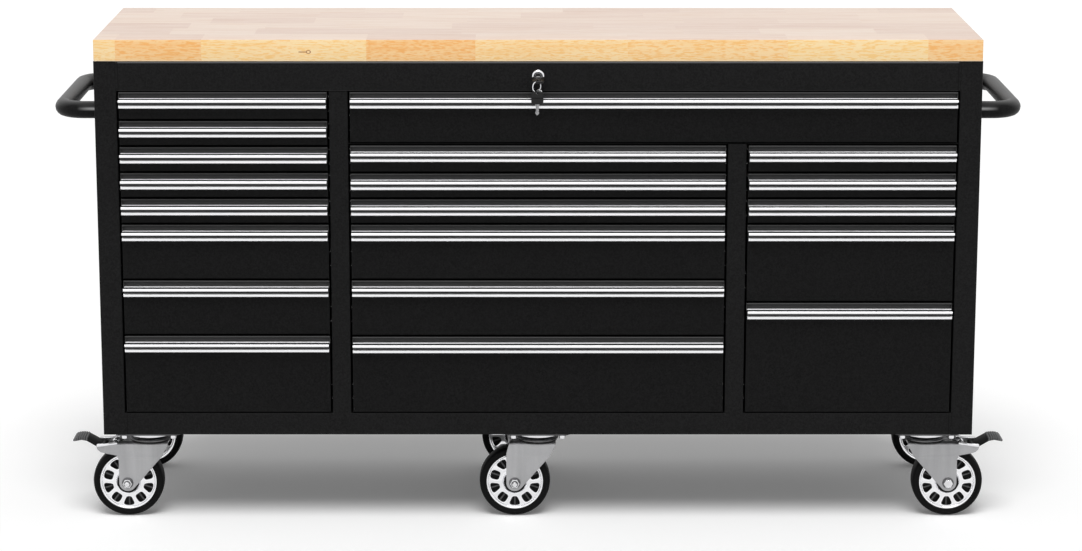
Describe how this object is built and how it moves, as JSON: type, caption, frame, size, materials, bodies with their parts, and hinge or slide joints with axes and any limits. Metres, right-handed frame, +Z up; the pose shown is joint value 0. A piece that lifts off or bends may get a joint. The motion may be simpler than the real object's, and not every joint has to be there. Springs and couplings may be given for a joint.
{
  "type": "tool cart",
  "caption": "Rolling workbench tool cart: black steel cabinet with columns of drawers, full-width aluminium pulls, butcher-block worktop, side handles and swivel casters.",
  "frame": {"origin": "on the floor under the middle of the whole cart", "axes": "+X to the right as seen from the front, +Y towards the back, +Z up; the drawers face -Y"},
  "size_m": [2.0198, 0.514, 1.03],
  "materials": {
    "cabinet_coat": "black powder coat with a fine texture, satin",
    "drawer_coat": "black powder coat with a fine texture, satin",
    "pull_aluminium": "bright anodised extrusion",
    "worktop_wood": "oiled butcher block of glued staves",
    "zinc_plate": "zinc plated pressed steel",
    "chrome_trim": "bright chrome",
    "tyre": "black tread on a bright cast rim",
    "pedal_grey": "dark grey ribbed plastic"
  },
  "bodies": {
    "cabinet": {"cabinet_shell": "cabinet_coat", "worktop": "worktop_wood", "side_handle_left": "cabinet_coat", "side_handle_right": "cabinet_coat", "lock_cylinder": "chrome_trim"},
    "key": {"key": "zinc_plate"},
    "drawer_wide": {"drawer_wide": "drawer_coat", "pull_wide": "pull_aluminium"},
    "drawer_left_1": {"drawer_left_1": "drawer_coat", "pull_left_1": "pull_aluminium"},
    "drawer_left_2": {"drawer_left_2": "drawer_coat", "pull_left_2": "pull_aluminium"},
    "drawer_left_3": {"drawer_left_3": "drawer_coat", "pull_left_3": "pull_aluminium"},
    "drawer_left_4": {"drawer_left_4": "drawer_coat", "pull_left_4": "pull_aluminium"},
    "drawer_left_5": {"drawer_left_5": "drawer_coat", "pull_left_5": "pull_aluminium"},
    "drawer_left_6": {"drawer_left_6": "drawer_coat", "pull_left_6": "pull_aluminium"},
    "drawer_left_7": {"drawer_left_7": "drawer_coat", "pull_left_7": "pull_aluminium"},
    "drawer_left_8": {"drawer_left_8": "drawer_coat", "pull_left_8": "pull_aluminium"},
    "drawer_middle_1": {"drawer_middle_1": "drawer_coat", "pull_middle_1": "pull_aluminium"},
    "drawer_middle_2": {"drawer_middle_2": "drawer_coat", "pull_middle_2": "pull_aluminium"},
    "drawer_middle_3": {"drawer_middle_3": "drawer_coat", "pull_middle_3": "pull_aluminium"},
    "drawer_middle_4": {"drawer_middle_4": "drawer_coat", "pull_middle_4": "pull_aluminium"},
    "drawer_middle_5": {"drawer_middle_5": "drawer_coat", "pull_middle_5": "pull_aluminium"},
    "drawer_middle_6": {"drawer_middle_6": "drawer_coat", "pull_middle_6": "pull_aluminium"},
    "drawer_right_1": {"drawer_right_1": "drawer_coat", "pull_right_1": "pull_aluminium"},
    "drawer_right_2": {"drawer_right_2": "drawer_coat", "pull_right_2": "pull_aluminium"},
    "drawer_right_3": {"drawer_right_3": "drawer_coat", "pull_right_3": "pull_aluminium"},
    "drawer_right_4": {"drawer_right_4": "drawer_coat", "pull_right_4": "pull_aluminium"},
    "drawer_right_5": {"drawer_right_5": "drawer_coat", "pull_right_5": "pull_aluminium"},
    "swivel_front_left": {"fork_front_left": "zinc_plate"},
    "wheel_front_left": {"wheel_front_left": "tyre"},
    "pedal_front_left": {"brake_pedal_front_left": "pedal_grey"},
    "swivel_front_centre": {"fork_front_centre": "zinc_plate"},
    "wheel_front_centre": {"wheel_front_centre": "tyre"},
    "swivel_front_right": {"fork_front_right": "zinc_plate"},
    "wheel_front_right": {"wheel_front_right": "tyre"},
    "pedal_front_right": {"brake_pedal_front_right": "pedal_grey"},
    "swivel_rear_left": {"fork_rear_left": "zinc_plate"},
    "wheel_rear_left": {"wheel_rear_left": "tyre"},
    "swivel_rear_centre": {"fork_rear_centre": "zinc_plate"},
    "wheel_rear_centre": {"wheel_rear_centre": "tyre"},
    "swivel_rear_right": {"fork_rear_right": "zinc_plate"},
    "wheel_rear_right": {"wheel_rear_right": "tyre"}
  },
  "joints": [
    {"name": "drawer_wide_slide", "type": "slide", "parent": "cabinet", "child": "drawer_wide", "axis": [0, -1, 0], "range_m": [0, 0.38]},
    {"name": "drawer_left_1_slide", "type": "slide", "parent": "cabinet", "child": "drawer_left_1", "axis": [0, -1, 0], "range_m": [0, 0.38]},
    {"name": "drawer_left_2_slide", "type": "slide", "parent": "cabinet", "child": "drawer_left_2", "axis": [0, -1, 0], "range_m": [0, 0.38]},
    {"name": "drawer_left_3_slide", "type": "slide", "parent": "cabinet", "child": "drawer_left_3", "axis": [0, -1, 0], "range_m": [0, 0.38]},
    {"name": "drawer_left_4_slide", "type": "slide", "parent": "cabinet", "child": "drawer_left_4", "axis": [0, -1, 0], "range_m": [0, 0.38]},
    {"name": "drawer_left_5_slide", "type": "slide", "parent": "cabinet", "child": "drawer_left_5", "axis": [0, -1, 0], "range_m": [0, 0.38]},
    {"name": "drawer_left_6_slide", "type": "slide", "parent": "cabinet", "child": "drawer_left_6", "axis": [0, -1, 0], "range_m": [0, 0.38]},
    {"name": "drawer_left_7_slide", "type": "slide", "parent": "cabinet", "child": "drawer_left_7", "axis": [0, -1, 0], "range_m": [0, 0.38]},
    {"name": "drawer_left_8_slide", "type": "slide", "parent": "cabinet", "child": "drawer_left_8", "axis": [0, -1, 0], "range_m": [0, 0.38]},
    {"name": "drawer_middle_1_slide", "type": "slide", "parent": "cabinet", "child": "drawer_middle_1", "axis": [0, -1, 0], "range_m": [0, 0.38]},
    {"name": "drawer_middle_2_slide", "type": "slide", "parent": "cabinet", "child": "drawer_middle_2", "axis": [0, -1, 0], "range_m": [0, 0.38]},
    {"name": "drawer_middle_3_slide", "type": "slide", "parent": "cabinet", "child": "drawer_middle_3", "axis": [0, -1, 0], "range_m": [0, 0.38]},
    {"name": "drawer_middle_4_slide", "type": "slide", "parent": "cabinet", "child": "drawer_middle_4", "axis": [0, -1, 0], "range_m": [0, 0.38]},
    {"name": "drawer_middle_5_slide", "type": "slide", "parent": "cabinet", "child": "drawer_middle_5", "axis": [0, -1, 0], "range_m": [0, 0.38]},
    {"name": "drawer_middle_6_slide", "type": "slide", "parent": "cabinet", "child": "drawer_middle_6", "axis": [0, -1, 0], "range_m": [0, 0.38]},
    {"name": "drawer_right_1_slide", "type": "slide", "parent": "cabinet", "child": "drawer_right_1", "axis": [0, -1, 0], "range_m": [0, 0.38]},
    {"name": "drawer_right_2_slide", "type": "slide", "parent": "cabinet", "child": "drawer_right_2", "axis": [0, -1, 0], "range_m": [0, 0.38]},
    {"name": "drawer_right_3_slide", "type": "slide", "parent": "cabinet", "child": "drawer_right_3", "axis": [0, -1, 0], "range_m": [0, 0.38]},
    {"name": "drawer_right_4_slide", "type": "slide", "parent": "cabinet", "child": "drawer_right_4", "axis": [0, -1, 0], "range_m": [0, 0.38]},
    {"name": "drawer_right_5_slide", "type": "slide", "parent": "cabinet", "child": "drawer_right_5", "axis": [0, -1, 0], "range_m": [0, 0.38]},
    {"name": "key_turn", "type": "hinge", "parent": "cabinet", "child": "key", "pos_m": [0, -0.223, 0.955], "axis": [0, 1, 0], "range_deg": [0, 90]},
    {"name": "swivel_front_left", "type": "hinge", "parent": "cabinet", "child": "swivel_front_left", "pos_m": [-0.8225, -0.163, 0.165], "axis": [0, 0, 1], "continuous": true},
    {"name": "axle_front_left", "type": "hinge", "parent": "swivel_front_left", "child": "wheel_front_left", "pos_m": [-0.8715, -0.163, 0.075], "axis": [0, 1, 0], "continuous": true},
    {"name": "pedal_front_left_press", "type": "hinge", "parent": "swivel_front_left", "child": "pedal_front_left", "pos_m": [-0.9235, -0.163, 0.15], "axis": [0, -1, 0], "range_deg": [0, 18]},
    {"name": "swivel_front_centre", "type": "hinge", "parent": "cabinet", "child": "swivel_front_centre", "pos_m": [0, -0.163, 0.165], "axis": [0, 0, 1], "continuous": true},
    {"name": "axle_front_centre", "type": "hinge", "parent": "swivel_front_centre", "child": "wheel_front_centre", "pos_m": [-0.049, -0.163, 0.075], "axis": [0, 1, 0], "continuous": true},
    {"name": "swivel_front_right", "type": "hinge", "parent": "cabinet", "child": "swivel_front_right", "pos_m": [0.8225, -0.163, 0.165], "axis": [0, 0, 1], "continuous": true},
    {"name": "axle_front_right", "type": "hinge", "parent": "swivel_front_right", "child": "wheel_front_right", "pos_m": [0.8715, -0.163, 0.075], "axis": [0, 1, 0], "continuous": true},
    {"name": "pedal_front_right_press", "type": "hinge", "parent": "swivel_front_right", "child": "pedal_front_right", "pos_m": [0.9235, -0.163, 0.15], "axis": [0, 1, 0], "range_deg": [0, 18]},
    {"name": "swivel_rear_left", "type": "hinge", "parent": "cabinet", "child": "swivel_rear_left", "pos_m": [-0.8225, 0.197, 0.165], "axis": [0, 0, 1], "continuous": true},
    {"name": "axle_rear_left", "type": "hinge", "parent": "swivel_rear_left", "child": "wheel_rear_left", "pos_m": [-0.8715, 0.197, 0.075], "axis": [0, 1, 0], "continuous": true},
    {"name": "swivel_rear_centre", "type": "hinge", "parent": "cabinet", "child": "swivel_rear_centre", "pos_m": [0, 0.197, 0.165], "axis": [0, 0, 1], "continuous": true},
    {"name": "axle_rear_centre", "type": "hinge", "parent": "swivel_rear_centre", "child": "wheel_rear_centre", "pos_m": [-0.049, 0.197, 0.075], "axis": [0, 1, 0], "continuous": true},
    {"name": "swivel_rear_right", "type": "hinge", "parent": "cabinet", "child": "swivel_rear_right", "pos_m": [0.8225, 0.197, 0.165], "axis": [0, 0, 1], "continuous": true},
    {"name": "axle_rear_right", "type": "hinge", "parent": "swivel_rear_right", "child": "wheel_rear_right", "pos_m": [0.8715, 0.197, 0.075], "axis": [0, 1, 0], "continuous": true}
  ]
}
